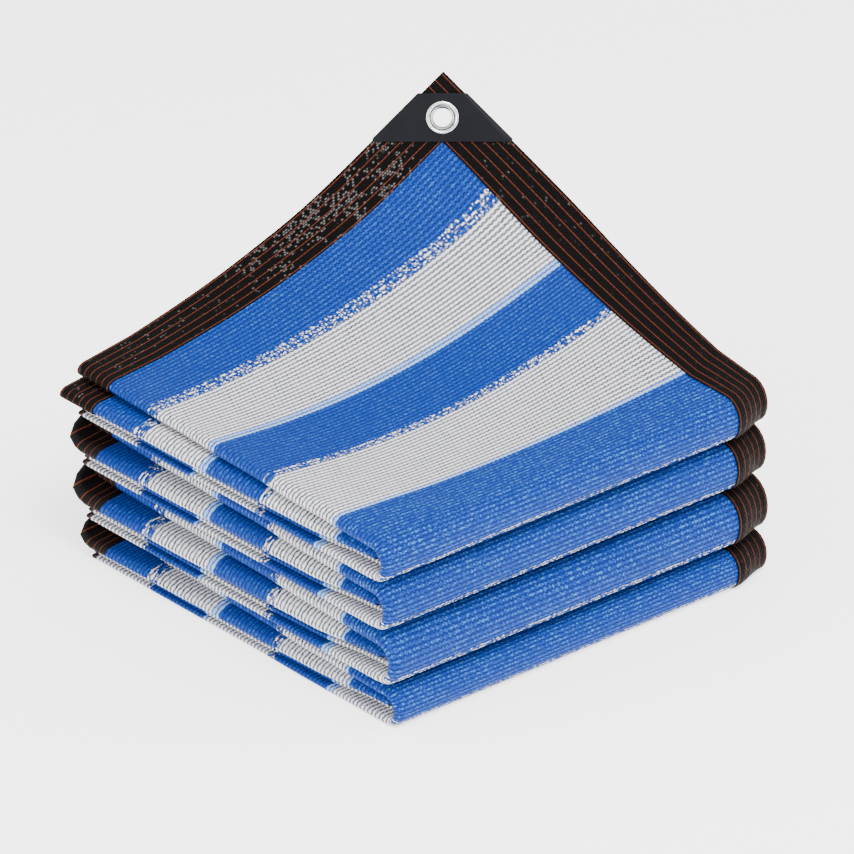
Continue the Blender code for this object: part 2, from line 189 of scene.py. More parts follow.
# The pressed face, from its outer edge inwards: rise above the patch
EYELET_BENDS = (
    Bend(0.0099, 0.00000),
    Bend(0.0100, 0.00020),
    Bend(0.0100, 0.00045),
    Bend(0.0098, 0.00072),
    Bend(0.0095, 0.00088),
    Bend(0.0091, 0.00090),
    Bend(0.0087, 0.00082),
    Bend(0.0083, 0.00050),
    Bend(0.0080, 0.00030),
    Bend(0.0077, 0.00040),
    Bend(0.0074, 0.00064),
    Bend(0.0071, 0.00062),
)
Throat = namedtuple("Throat", "radius share")
# The throat: its height as a share of the patch's half thickness
THROAT_BENDS = (
    Throat(0.0068, 1.10),
    Throat(0.0065, 0.92),
    Throat(0.0062, 0.70),
    Throat(0.0059, 0.45),
    Throat(0.0057, 0.20),
)

# The knit and the stitches, in metres. The net has soft streaks, and painted sparkles of light that come in
# patches and are painted stronger round its front folds. The border has painted glints, more of them near the
# raised corner
ROW_PITCH = 0.003205
LOOP_PITCH = 0.0034
STREAK_LENGTH = 0.025
STREAK_WIDTH = 0.0014
PATCHY_SIZE = 0.055
FRONT_BRIGHT = 0.015
FRONT_DULL = 0.045
SHINE_START = 0.045
SHINE_FULL = 0.060
SHINE_FADES = 0.120
SHINE_END = 0.190
SHINE_SIZE = 0.017
RIB_PITCH = 0.0014
RIB_LOOP = 0.0018
STITCH_ROWS = 6
STITCH_FIRST = 0.0010
STITCH_SPACING = 0.0056
STITCH_LENGTH = 0.0032
STITCH_THREAD = 0.00042
STITCH_LIFT = 0.00012
STITCH_CLEAR = 0.0105
LINK_OVERLAP = 1.25
# How strong the painted glints are on each border
BORDER_SHINE = {"side": 0.05, "back": 0.45}

Stripe = namedtuple("Stripe", "start colour")
# Where each stripe starts, in metres from the back of its lobe. Blue ends in white flecks where a
# white stripe starts, and white ends in rows of blue holes
STRIPES = (
    Stripe(0.000, "brown"),
    Stripe(0.029, "blue"),
    Stripe(0.065, "flecked"),
    Stripe(0.075, "white"),
    Stripe(0.126, "laced"),
    Stripe(0.132, "blue"),
    Stripe(0.181, "flecked"),
    Stripe(0.190, "white"),
    Stripe(0.247, "laced"),
    Stripe(0.253, "blue"),
    Stripe(0.316, "flecked"),
    Stripe(0.322, "white"),
    Stripe(0.378, "laced"),
    Stripe(0.384, "blue"),
    Stripe(0.432, "flecked"),
    Stripe(0.439, "white"),
    Stripe(0.494, "laced"),
    Stripe(0.499, "blue"),
    Stripe(0.546, "flecked"),
    Stripe(0.551, "white"),
    Stripe(0.597, "brown"),
)
# The share of white yarns, whether it is brown, and whether its holes are blue
STRIPE_MASKS = {
    "blue": (0.0, 0.0, 0.0),
    "flecked": (0.35, 0.0, 0.0),
    "white": (1.0, 0.0, 0.0),
    "laced": (1.0, 0.0, 1.0),
    "brown": (0.0, 1.0, 0.0),
}

# The stripes repeat with each lobe. These are metres from the lobe's back: where its front turn
# starts and ends, where its lower layer ends, and the whole repeat
FRONT_Y = 0.135
FRONT_STRIPE = HALF + FRONT_Y
LOW_STRIPE = 0.332
BACK_STRIPE = LOW_STRIPE + FRONT_Y + MIDDLE_Y
STRIPE_REPEAT = 0.625

# Colours
BLUE = (0.000, 0.033, 0.262)
BLUE_DEEP = (0.000, 0.022, 0.190)
# Painted highlight: the light blue of the net's painted sparkles
BLUE_PAINTED_SPARKLE = (0.045, 0.235, 0.580)
# Painted shade: the dark that shows through the holes of the blue stripes
BLUE_HOLE_SHADE = (0.000, 0.004, 0.045)
WHITE = (0.720, 0.715, 0.730)
WHITE_GREY = (0.300, 0.310, 0.360)
WHITE_BLUE = (0.090, 0.250, 0.600)
# Painted shade: the near black that shows through the holes of the white stripes
WHITE_HOLE_SHADE = (0.008, 0.009, 0.020)
DARK = (0.0030, 0.0018, 0.0017)
# Painted shade: the border tape between its ribs and loops
DARK_GAP_SHADE = (0.0006, 0.0004, 0.0004)
# Painted highlight: the grey of the border's painted glints
PAINTED_GLINT_GREY = (0.110, 0.103, 0.100)
RUST = (0.130, 0.028, 0.012)
RUST_DEEP = (0.070, 0.014, 0.006)
PATCH_COLOUR = (0.0026, 0.0029, 0.0050)
PATCH_DEEP = (0.0016, 0.0018, 0.0032)
STEEL = (0.800, 0.810, 0.820)
# Painted shade for the eyelet's throat and its groove
THROAT_PAINTED_SHADE = (0.260, 0.265, 0.275)
GROOVE_PAINTED_SHADE = (0.060, 0.062, 0.066)
FLOOR_COLOUR = (0.900, 0.900, 0.900)
FLOOR_GLOW = 1.60
FLOOR_REACH = 4.0

# The camera stands far off, as the photograph is nearly without perspective
VIEW_AZIMUTH = -41.4
VIEW_ELEVATION = 29.2
VIEW_TARGET = Vector((0.0033, -0.0029, 0.0940)) + SHIFT
VIEW_WIDTH = 0.521
VIEW_LENS = 1200.0
VIEW_SENSOR = 36.0
SKY_STRENGTH = 1.5
Lamp = namedtuple("Lamp", "name place size watts")
LAMPS = (
    Lamp("key", (-0.5, -1.3, 2.6), 1.2, 120.0),
    Lamp("left", (-2.4, 0.4, 1.4), 1.4, 50.0),
    Lamp("right", (1.8, -1.4, 1.2), 1.6, 40.0),
)


def smooth(value):
    """Rises smoothly from 0 to 1, and is flat outside them."""
    value = min(1.0, max(0.0, value))
    return value * value * (3 - 2 * value)


def mix(a, b, share):
    return a + (b - a) * share


def mix_rows(a, b, share):
    return [mix(p, q, share) for p, q in zip(a, b)]


def edge_at(y):
    """The rolled edge's heights and set-backs at this place along Y."""
    y = min(EDGES[0].y, max(EDGES[-1].y, y))
    for back, front in zip(EDGES, EDGES[1:]):
        if y >= front.y:
            share = smooth((back.y - y) / (back.y - front.y))
            heights = mix_rows(back.heights, front.heights, share)
            return heights, mix_rows(back[2:], front[2:], share)
    return EDGES[-1].heights, EDGES[-1][2:]


def layer_height(layer):
    """The height of a layer's own middle, which its four sheets are offset from."""
    lobe = LOBES[layer // 2]
    scale = lobe.height / LOBE_HEIGHT
    middle = (FLAT.second + FLAT.third) / 2 if layer % 2 == 0 else (FLAT.third_low + FLAT.second_low) / 2
    return lobe.bottom + middle * scale * MM


def layer_offsets(layer, y, x):
    """How far each of a layer's four sheets lies outside the layer's middle at (x, y)."""
    lobe = LOBES[layer // 2]
    scale = lobe.height / LOBE_HEIGHT
    heights, _ = edge_at(y)
    share = smooth((EDGE_START - x) / (EDGE_START - EDGE_FULL))
    heights = mix_rows(FLAT, heights, share)
    upper, lower = heights[:4], heights[:3:-1]
    rows = upper if layer % 2 == 0 else lower
    side = 1 if layer % 2 == 0 else -1
    return [side * (lobe.bottom + row * scale * MM - layer_height(layer)) for row in rows]


def layer_tips(layer, y):
    """Where the rolls A and B of a layer end at -X."""
    lobe = LOBES[layer // 2]
    _, back = edge_at(y)
    roll_a, roll_b = (back[0], back[1]) if layer % 2 == 0 else (back[3], back[2])
    return -lobe.left + roll_a * MM, -lobe.left + roll_b * MM


def front_skew(x):
    """How much further forwards the front folds reach at this place along X."""
    beside_border = HALF - BAND_WIDTH
    if x > beside_border:
        return FRONT_SKEW * (1 - smooth((x - beside_border) / BAND_WIDTH))
    return FRONT_SKEW * max(0.0, (x + HALF) / (beside_border + HALF))


class Place:
    """One station along the cloth: a point of the layer's middle, its outward direction, and the
    layers that the four sheets take their offsets from."""

    def __init__(self, y, z, out_y, out_z, layer, after, share, stripe=0.0, squash=1.0, pull=0.0):
        self.y, self.z = y, z
        self.out_y, self.out_z = out_y, out_z
        self.layer, self.after, self.share = layer, after, share
        self.stripe = layer // 2 * STRIPE_REPEAT + stripe
        self.squash, self.pull = squash, pull
        self.table_y = min(HALF, max(-HALF, y))

    def offsets(self, x):
        """How far out the four sheets lie from the layer's middle."""
        now = layer_offsets(self.layer, self.table_y, x)
        then = layer_offsets(self.after, self.table_y, x)
        return mix_rows(now, then, self.share)

    def tips(self):
        """Where the rolls A and B end at -X."""
        now = layer_tips(self.layer, self.table_y)
        then = layer_tips(self.after, self.table_y)
        roll_a, roll_b = mix_rows(now, then, self.share)
        return roll_a + PULL_A * self.pull, roll_b + PULL_B * self.pull

    def point(self, x, offset):
        y = self.y + offset * self.out_y * self.squash
        share = smooth((SKEW_START - self.table_y) / (SKEW_START - SKEW_FULL))
        return Vector((x, y - share * front_skew(x), self.z + offset * self.out_z))


def front_turn(layer):
    """Down and back round the front of a lobe, from its upper to its lower layer."""
    lobe = LOBES[layer // 2]
    top, low = layer_height(layer), layer_height(layer + 1)
    radius = (top - low) / 2
    reach = lobe.height / 2
    for step in range(TURN_STEPS + 1):
        share = step / TURN_STEPS
        angle = math.pi * share
        bulge = math.sin(angle) ** mix(1.0, FRONT_DROOP, share) if 0 < step < TURN_STEPS else 0.0
        y = -lobe.front + reach - radius * bulge
        z = (top + low) / 2 + radius * math.cos(angle)
        stripe = mix(FRONT_STRIPE, LOW_STRIPE, share)
        yield Place(y, z, -bulge, math.cos(angle), layer, layer + 1, smooth(share), stripe)


def back_turn(layer):
    """Down and forwards behind the stack, from a lobe's lower layer to the next lobe's upper one."""
    top, low = layer_height(layer), layer_height(layer + 1)
    radius = (top - low) / 2
    for step in range(TURN_STEPS + 1):
        share = step / TURN_STEPS
        angle = math.pi * share
        y = MIDDLE_Y + BACK_SQUASH * radius * math.sin(angle)
        z = (top + low) / 2 + radius * math.cos(angle)
        stripe = mix(BACK_STRIPE, STRIPE_REPEAT + HALF - MIDDLE_Y, share)
        out_y, out_z = -math.sin(angle), -math.cos(angle)
        pull = math.sin(math.pi * min(1.0, share / PULL_END))
        yield Place(y, z, out_y, out_z, layer, layer + 1, smooth(share), stripe, BACK_SQUASH, pull)


def places():
    """Every station along the cloth, from the hem at the raised corner to its other end."""
    rows = [Place(y, layer_height(0), 0.0, 1.0, 0, 0, 0.0, HALF - y) for y in TOP_Y]
    for layer in range(len(LOBES) * 2 - 1):
        rows.extend(front_turn(layer) if layer % 2 == 0 else back_turn(layer))
        below = layer + 1
        side = 1.0 if below % 2 == 0 else -1.0
        for y in LAYER_Y[::-1] if below % 2 == 0 else LAYER_Y:
            stripe = HALF - y if below % 2 == 0 else LOW_STRIPE + FRONT_Y + y
            rows.append(Place(y, layer_height(below), 0.0, side, below, below, 0.0, stripe))
    last = len(LOBES) * 2 - 1
    rows.append(Place(MIDDLE_Y, layer_height(last), 0.0, -1.0, last, last, 0.0, BACK_STRIPE))
    return rows


def roll(place, tip, nose, lean, first, second):
    """The points round a roll at -X, from the sheet above to the sheet below."""
    offsets = place.offsets(tip + nose)
    middle = (offsets[first] + offsets[second]) / 2
    radius = (offsets[first] - offsets[second]) / 2
    nose = min(nose, max(radius, radius * radius / LEAST_BEND))
    centre = tip + nose
    for step in range(TURN_STEPS + 1):
        angle = math.pi * step / TURN_STEPS
        x = centre - nose * (math.sin(angle) - lean * math.sin(2 * angle))
        yield x, middle + radius * math.cos(angle)


def section(place):
    """The cloth's section across X at one station: (x, offset) from the hem to its other edge."""
    tip_a, tip_b = place.tips()
    rows = [(x, place.offsets(x)[0]) for x in FIRST_X]
    rows.extend(roll(place, tip_a, NOSE_A, 0.0, 0, 1))
    rows.extend((x, place.offsets(x)[1]) for x in INNER_X[::-1])
    second, third = place.offsets(FOLD_X)[1:3]
    middle, radius = (second + third) / 2, (second - third) / 2
    for step in range(TURN_STEPS + 1):
        angle = math.pi * step / TURN_STEPS
        rows.append((FOLD_X - radius + radius * math.sin(angle), middle + radius * math.cos(angle)))
    rows.extend((x, place.offsets(x)[2]) for x in INNER_X)
    rows.extend(roll(place, tip_b, NOSE_B, NOSE_B_LEAN, 2, 3))
    rows.extend((x, place.offsets(x)[3]) for x in INNER_X[::-1] + [FOURTH_X])
    return rows


def bezier(start, start_way, end, end_way, share):
    """A hem's curve, which leaves and arrives along the given directions."""
    near = start + start_way * HEM_HANDLE
    far = end - end_way * HEM_HANDLE
    keep = 1 - share
    return keep**3 * start + 3 * keep**2 * share * near + 3 * keep * share**2 * far + share**3 * end


def hem(start, start_way, end_way, share):
    """A hem of the raised sheet: a curve up to the flat corner, then straight to the tip."""
    straight = TIP - end_way * SIDE * (1 - HEM_STRAIGHT)
    if share >= HEM_STRAIGHT:
        return TIP - end_way * SIDE * (1 - share)
    return bezier(start, start_way, straight, end_way, share / HEM_STRAIGHT)


TOP_PLACE = Place(HALF, layer_height(0), 0.0, 1.0, 0, 0, 0.0)


def unlifted(x, y):
    """The top sheet where it would lie with its corner down."""
    offset = layer_offsets(0, y, x)[0]
    return sagged(Vector((x, y, TOP_PLACE.z + offset)))


def sagged(point):
    """The folds stand fuller than the middle of the stack, which is pressed down a little."""
    across = math.sin(math.pi * min(1.0, max(0.0, (point.x + HALF) / SIDE)))
    along = math.sin(math.pi * min(1.0, max(0.0, (point.y + HALF) / SIDE)))
    return Vector((point.x, point.y, point.z * (1 - SAG * across * along)))


def lifted(point):
    """A point of the top sheet, moved to where the raised corner pulls it."""
    across = (point.x - LIFT_X) / (HALF - LIFT_X)
    along = (point.y - LIFT_Y) / (HALF - LIFT_Y)
    if across <= 0 or along <= 0:
        return point
    corner_down = unlifted(HALF, HALF)
    back_x = mix(LIFT_X, HALF, across)
    side_y = mix(LIFT_Y, HALF, along)
    back = hem(unlifted(LIFT_X, HALF), BACK_HEM_START, ALONG_BACK_HEM, across) - unlifted(back_x, HALF)
    side = hem(unlifted(HALF, LIFT_Y), SIDE_HEM_START, ALONG_SIDE_HEM, along) - unlifted(HALF, side_y)
    weight_x, weight_y = across**LIFT_POWER, along**LIFT_POWER
    moved = point + back * weight_y + side * weight_x - (TIP - corner_down) * weight_x * weight_y
    flat_corner = TIP + ALONG_BACK_HEM * (point.x - HALF) + ALONG_SIDE_HEM * (point.y - HALF)
    share = smooth((across + along - PLANE_START) / (PLANE_FULL - PLANE_START))
    return moved.lerp(flat_corner, share)


def floor_rise(column):
    """The lowest sheet lies on the floor, and its middle is higher where the border runs under it."""
    return BAND_OUT if column <= BORDER_STEPS else NET_OUT


def cloth_grid():
    """The middle surface of the net in the row frame: grid[station along][station across]."""
    grid = []
    for row, place in enumerate(places()):
        points = []
        for column, (x, offset) in enumerate(section(place)):
            point = sagged(place.point(x, offset))
            point.z = max(point.z, floor_rise(column))
            if row < len(TOP_Y) and column < len(FIRST_X):
                point = lifted(point)
            points.append(point + SHIFT)
        grid.append(points)
    return grid


def cell_faces(rows, columns):
    """The triangles between the points of a grid, as triples of (row, column)."""
    for i in range(rows - 1):
        for j in range(columns - 1):
            yield (i, j), (i + 1, j), (i + 1, j + 1)
            yield (i, j), (i + 1, j + 1), (i, j + 1)


def grid_normals(grid):
    """The outward direction at each point, lengthened at bends so that a wall keeps its thickness."""
    rows, columns = len(grid), len(grid[0])
    around = [[[] for _ in range(columns)] for _ in range(rows)]
    for face in cell_faces(rows, columns):
        a, b, c = (grid[i][j] for i, j in face)
        normal = (b - a).cross(c - a).normalized()
        for i, j in face:
            around[i][j].append(normal)
    result = []
    for line in around:
        out = []
        for normals in line:
            mean = sum(normals, Vector()).normalized()
            least = min(mean.dot(normal) for normal in normals)
            out.append(mean / max(LEAST_LENGTHENED, least))
        result.append(out)
    return result


def flat_places(grid):
    """How far each station lies from the raised corner on the flat cloth: along it and across it."""
    rows, columns = len(grid), len(grid[0])
    along, across = [0.0], [0.0]
    for i in range(1, rows):
        parts = [(grid[i][j] - grid[i - 1][j]).length for j in range(columns)]
        along.append(along[-1] + sum(parts) / columns)
    for j in range(1, columns):
        parts = [(grid[i][j] - grid[i][j - 1]).length for i in range(rows)]
        across.append(across[-1] + sum(parts) / rows)
    return along, across


def new_piece(name, points, faces, coordinates, material):
    """A mesh piece in the row frame. coordinates gives a pair for each point, kept as its UV map."""
    mesh = bpy.data.meshes.new(name)
    mesh.from_pydata([tuple(point) for point in points], [], faces)
    if coordinates:
        layer = mesh.uv_layers.new(name="cloth")
        corners = [0] * len(mesh.loops)
        mesh.loops.foreach_get("vertex_index", corners)
        layer.uv.foreach_set("vector", [value for corner in corners for value in coordinates[corner]])
    shape = bmesh.new()
    shape.from_mesh(mesh)
    bmesh.ops.recalc_face_normals(shape, faces=shape.faces)
    shape.to_mesh(mesh)
    shape.free()
    mesh.shade_smooth()
    mesh.set_sharp_from_angle(angle=SHARP_ANGLE)
    mesh.materials.append(material)
    piece = bpy.data.objects.new(name, mesh)
    bpy.context.collection.objects.link(piece)
    return piece


def knitted_net(grid, normals, along, across, material):
    """The net as one closed sheet, with its flat places as its UV map and its stripes as an attribute."""
    rows, columns = len(grid), len(grid[0])
    points, coordinates = [], []
    for side in (1, -1):
        for i in range(rows):
            for j in range(columns):
                points.append(grid[i][j] + normals[i][j] * NET_OUT * side)
                coordinates.append((across[j], along[i]))

    def index(side, i, j):
        return side * rows * columns + i * columns + j

    faces = []
    for i in range(rows - 1):
        for j in range(columns - 1):
            square = ((i, j), (i + 1, j), (i + 1, j + 1), (i, j + 1))
            faces.append([index(0, *corner) for corner in square])
            faces.append([index(1, *corner) for corner in reversed(square)])
    rim = [(i, 0) for i in range(rows)] + [(rows - 1, j) for j in range(1, columns)]
    rim += [(i, columns - 1) for i in range(rows - 2, -1, -1)] + [(0, j) for j in range(columns - 2, 0, -1)]
    for a, b in zip(rim, rim[1:] + rim[:1]):
        faces.append([index(0, *a), index(1, *a), index(1, *b), index(0, *b)])
    net = new_piece("knitted_net", points, faces, coordinates, material)
    stripes = [place.stripe for place in places()]
    attribute = net.data.attributes.new("stripe", "FLOAT", "POINT")
    attribute.data.foreach_set("value", [stripes[i] for i in range(rows) for j in range(columns)] * 2)
    return net


def border_tape(name, lines, line_normals, widths, lengths, material):
    """A tape folded over an edge of the net. Each line runs inwards from the edge, one for a station.

    The tape's section goes round from its inner margin on the upper face, over the edge and back.
    """
    last = len(widths) - 1
    points, coordinates = [], []
    for line, outs, length in zip(lines, line_normals, lengths):
        away = (line[0] - line[1]).normalized()
        for half, edge_gap in ((BAND_OUT, BAND_OUT - NET_OUT), (BAND_IN, GAP)):
            upper = [(line[j] + outs[j] * half, widths[j]) for j in range(last, -1, -1)]
            turn = []
            for step in range(1, EDGE_STEPS):
                angle = math.pi * step / EDGE_STEPS
                reach = away * edge_gap * math.sin(angle) + outs[0] * half * math.cos(angle)
                turn.append((line[0] + reach, 0.0))
            lower = [(line[j] - outs[j] * half, widths[j]) for j in range(last + 1)]
            ring = upper + turn + lower
            points.extend(point for point, _ in (ring if half == BAND_OUT else reversed(ring)))
            coordinates.extend((width, length) for _, width in (ring if half == BAND_OUT else reversed(ring)))
    corners = 2 * (2 * (last + 1) + EDGE_STEPS - 1)
    faces = []
    for i in range(len(lines) - 1):
        for j in range(corners):
            k = (j + 1) % corners
            faces.append((i * corners + j, i * corners + k, (i + 1) * corners + k, (i + 1) * corners + j))
    half_way = corners // 2
    for base in (0, (len(lines) - 1) * corners):
        for j in range(half_way - 1):
            faces.append([base + j, base + j + 1, base + corners - 2 - j, base + corners - 1 - j])
    return new_piece(name, points, faces, coordinates, material)


def corner_point(down, across, out):
    """A point of the raised corner: down from its tip, across it, and out from the net's middle."""
    return TIP + SHIFT - CORNER_UP * down + CORNER_ACROSS * across + CORNER_NORMAL * out


def sleeve_ring(reach, out):
    """The patch's section at one height: flat in front and behind, round at both hems."""
    straight = reach - out
    face = [mix(-straight, straight, i / PATCH_FACE_STEPS) for i in range(PATCH_FACE_STEPS + 1)]
    turns = [math.pi * i / PATCH_TURN_STEPS for i in range(1, PATCH_TURN_STEPS)]
    ring = [(across, out) for across in face]
    ring += [(straight + out * math.sin(turn), out * math.cos(turn)) for turn in turns]
    ring += [(across, -out) for across in reversed(face)]
    ring += [(-straight - out * math.sin(turn), -out * math.cos(turn)) for turn in turns]
    return ring


def corner_patch(material):
    """A welded plastic sleeve over the corner, open at its top and its lower edge."""
    levels = steps(PATCH_TOP, PATCH_BOTTOM, PATCH_LEVELS) + [PATCH_BOTTOM]
    side_in = (BAND_OUT - NET_OUT + GAP) * math.sqrt(2)
    side_out = side_in + PATCH * math.sqrt(2)
    points = []
    for out, side in ((PATCH_OUT, side_out), (PATCH_IN, side_in)):
        for down in levels:
            reach = min(down + side, PATCH_BOTTOM + side - PATCH_CLIP)
            points += [corner_point(down, across, height) for across, height in sleeve_ring(reach, out)]
    ring = len(sleeve_ring(PATCH_TOP, PATCH_OUT))
    count = len(levels)
    faces = []
    for j in range(ring):
        k = (j + 1) % ring
        for skin in range(2):
            for i in range(count - 1):
                base = (skin * count + i) * ring
                faces.append((base + j, base + k, base + ring + k, base + ring + j))
        for i in (0, count - 1):
            outer, inner = i * ring, (count + i) * ring
            faces.append((outer + j, outer + k, inner + k, inner + j))
    return new_piece("corner_patch_moulded", points, faces, None, material)


def turned(name, profile, sides, material):
    """A ring turned from (radius, height) points round the eyelet's axis."""
    points = []
    for step in range(sides):
        angle = 2 * math.pi * step / sides
        for radius, height in profile:
            across, up = radius * math.cos(angle), radius * math.sin(angle)
            points.append(corner_point(EYELET_DOWN - up, across, height))
    count = len(profile)
    faces = []
    for step in range(sides):
        after = (step + 1) % sides
        for j in range(count):
            k = (j + 1) % count
            faces.append((step * count + j, step * count + k, after * count + k, after * count + j))
    return new_piece(name, points, faces, None, material)


def pressed_eyelet(material):
    """The eyelet's rolled face, the groove inside it and the throat, the same on both sides."""
    seat = PATCH_OUT + GAP
    front = [(bend.radius, seat + bend.rise) for bend in EYELET_BENDS]
    throat = [(bend.radius, seat * bend.share) for bend in THROAT_BENDS]
    profile = [(EYELET_BARREL, 0.0), (EYELET_BARREL, seat)] + front + throat
    profile += [(EYELET_HOLE, 0.0)]
    profile += [(radius, -height) for radius, height in reversed(front + throat)]
    profile += [(EYELET_BARREL, -seat)]
    return turned("eyelet_pressed", profile, EYELET_SIDES, material)


def punch_hole(piece):
    """Cuts the eyelet's seat through a piece, and leaves it a plain mesh."""
    depth = 6 * PATCH_OUT
    shape = bmesh.new()
    bmesh.ops.create_cone(
        shape, cap_ends=True, segments=EYELET_SIDES, radius1=HOLE_CUT, radius2=HOLE_CUT, depth=depth
    )
    for vertex in shape.verts:
        across, up, out = vertex.co
        vertex.co = corner_point(EYELET_DOWN - up, across, out)
    bmesh.ops.recalc_face_normals(shape, faces=shape.faces)
    mesh = bpy.data.meshes.new("seat")
    shape.to_mesh(mesh)
    shape.free()
    cutter = bpy.data.objects.new("seat", mesh)
    bpy.context.collection.objects.link(cutter)
    cut = piece.modifiers.new("seat", "BOOLEAN")
    cut.object = cutter
    cut.solver = "EXACT"
    make_plain(piece)
    bpy.data.objects.remove(cutter)


def make_plain(piece):
    """Applies what modifiers a piece has."""
    evaluated = piece.evaluated_get(bpy.context.evaluated_depsgraph_get())
    piece.data = bpy.data.meshes.new_from_object(evaluated)
    piece.modifiers.clear()


class Tree:
    """A node tree being built. node() adds any node, and gives the value of one of its outputs."""

    def __init__(self, tree, prefix):
        self.tree, self.prefix = tree, prefix

    def node(self, kind, settings=None, inputs=None, take=0):
        made = self.tree.nodes.new(kind if "Node" in kind else self.prefix + kind)
        for name, value in (settings or {}).items():
            if name == "stops":
                self.set_stops(made.color_ramp, value)
            else:
                setattr(made, name, value)
        for name, value in (inputs or {}).items():
            self.feed(made.inputs[name], value)
        return Value(self, made.outputs[take]) if made.outputs else made

    def feed(self, socket, value):
        if isinstance(value, Value):
            self.tree.links.new(value.socket, socket)
        elif isinstance(value, tuple) and len(value) == 3 and socket.type == "RGBA":
            socket.default_value = value + (1.0,)
        else:
            socket.default_value = value

    def set_stops(self, ramp, stops):
        ramp.interpolation = "CONSTANT"
        while len(ramp.elements) < len(stops):
            ramp.elements.new(1.0)
        for element, (place, colour) in zip(ramp.elements, stops):
            element.position = place
            element.color = colour + (1.0,)


class Value:
    """A number in a node tree. Its operators add Math nodes."""

    def __init__(self, owner, socket):
        self.owner, self.socket = owner, socket

    def maths(self, operation, *others):
        inputs = dict(enumerate((self, *others)))
        return self.owner.node("ShaderNodeMath", {"operation": operation}, inputs)

    def __add__(self, other):
        return self.maths("ADD", other)

    __radd__ = __add__

    def __mul__(self, other):
        return self.maths("MULTIPLY", other)

    __rmul__ = __mul__

    def __sub__(self, other):
        return self.maths("SUBTRACT", other)

    def __rsub__(self, other):
        return self.maths("MULTIPLY", -1.0) + other

    def __truediv__(self, other):
        return self.maths("DIVIDE", other)

    def whole(self):
        return self.maths("FLOOR")

    def part(self):
        return self.maths("FRACT")

    def size(self):
        return self.maths("ABSOLUTE")

    def hump(self):
        """0 at each whole number and 1 half way between."""
        return (self.part() * math.pi).maths("SINE")

    def between(self, low, high):
        """Rises smoothly from 0 at low to 1 at high."""
        limits = {"Value": self, "From Min": low, "From Max": high}
        return self.owner.node("MapRange", {"interpolation_type": "SMOOTHSTEP"}, limits)


def new_finish(name, specular=0.5):
    """A new material as (material, its tree, its shader node)."""
    material = bpy.data.materials.new(name)
    material.use_nodes = True
    shader = material.node_tree.nodes["Principled BSDF"]
    shader.inputs["Specular IOR Level"].default_value = specular
    return material, Tree(material.node_tree, "ShaderNode"), shader


def cloth_place(tree):
    """A point's place on the flat cloth, in metres: across it and along it."""
    place = tree.node("UVMap", {"uv_map": "cloth"})
    return tuple(tree.node("SeparateXYZ", None, {"Vector": place}, take) for take in "XY")


def chance(tree, first, second, seed):
    """A random number from 0 to 1 for each whole first and second."""
    cell = tree.node("CombineXYZ", None, {"X": first, "Y": second, "Z": seed})
    return tree.node("TexWhiteNoise", {"noise_dimensions": "3D"}, {"Vector": cell}, "Value")


def cloud(tree, first, second, detail=2.0):
    """Soft noise from 0 to 1 in two directions that are already scaled."""
    place = tree.node("CombineXYZ", None, {"X": first, "Y": second})
    return tree.node("TexNoise", None, {"Vector": place, "Scale": 1.0, "Detail": detail}, "Fac")


def blend(tree, share, first, second):
    """A colour that goes from the first to the second."""
    sockets = {"Factor": share, 6: first, 7: second}
    return tree.node("Mix", {"data_type": "RGBA"}, sockets, 2)


def stitch_lines(distance):
    """1 on the border's rows of thread, from the distance to the edge in metres."""
    from_row = ((distance - STITCH_FIRST) / STITCH_SPACING + 0.5).part() - 0.5
    return 1 - (from_row.size() * STITCH_SPACING).between(0.4 * STITCH_THREAD, 0.8 * STITCH_THREAD)


